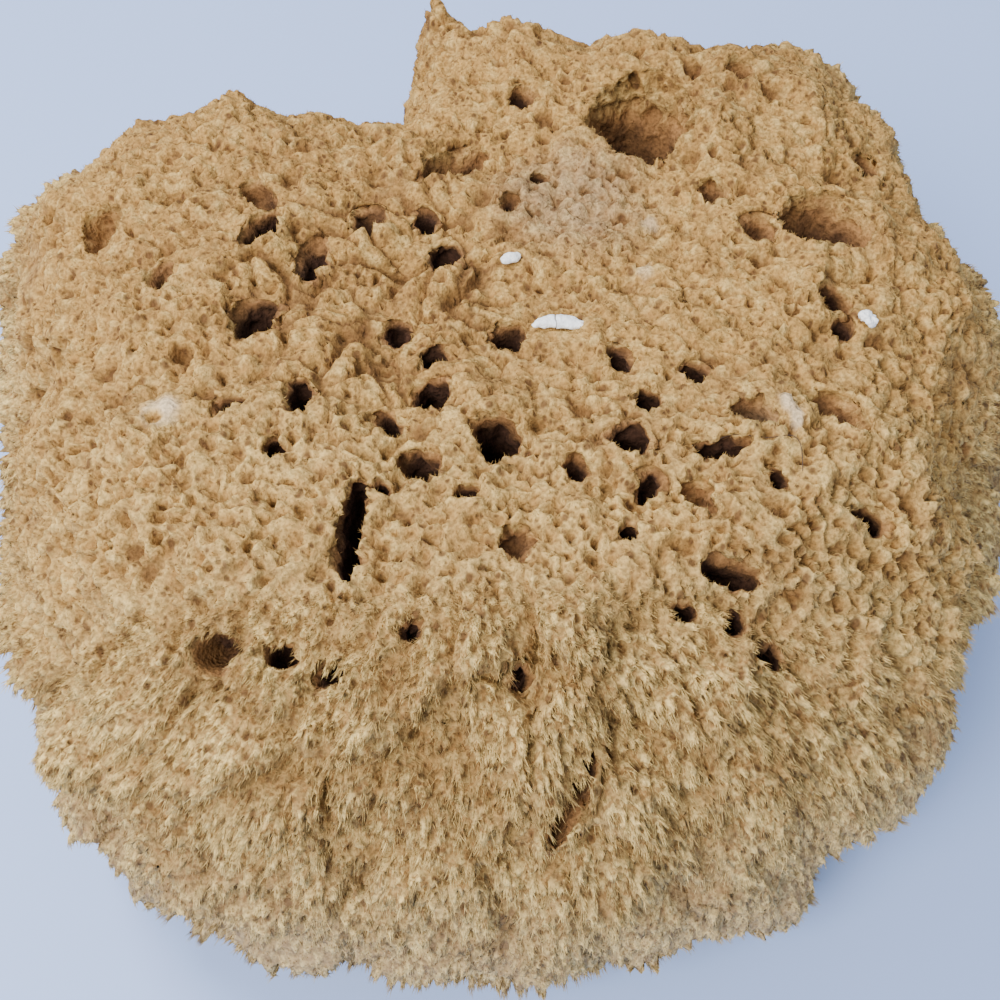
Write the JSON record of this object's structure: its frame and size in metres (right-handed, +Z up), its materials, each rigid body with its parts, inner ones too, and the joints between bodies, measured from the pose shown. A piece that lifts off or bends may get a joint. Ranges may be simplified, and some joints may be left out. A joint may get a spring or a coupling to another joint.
{
  "type": "sea sponge",
  "caption": "Natural bath sponge: a bun-shaped, pitted sponge skeleton cut flat at its base to rest on, with small bits of shell lodged in its top.",
  "frame": {"origin": "middle of the flat base, centred under the sponge's widest extents", "axes": "+Z up out of the pitted top, +X to the right as the sponge is seen from the front, -Y towards the viewer"},
  "size_m": [0.2548, 0.2323, 0.1205],
  "materials": {
    "sponge": "dry, matt, fibrous spongin skeleton, tan with orange-brown hollows",
    "shell": "chalky white broken shell"
  },
  "bodies": {
    "root": {"sponge_body": "sponge", "shell_sliver": "shell", "shell_chip_centre": "shell", "shell_chip_right": "shell"}
  },
  "joints": []
}
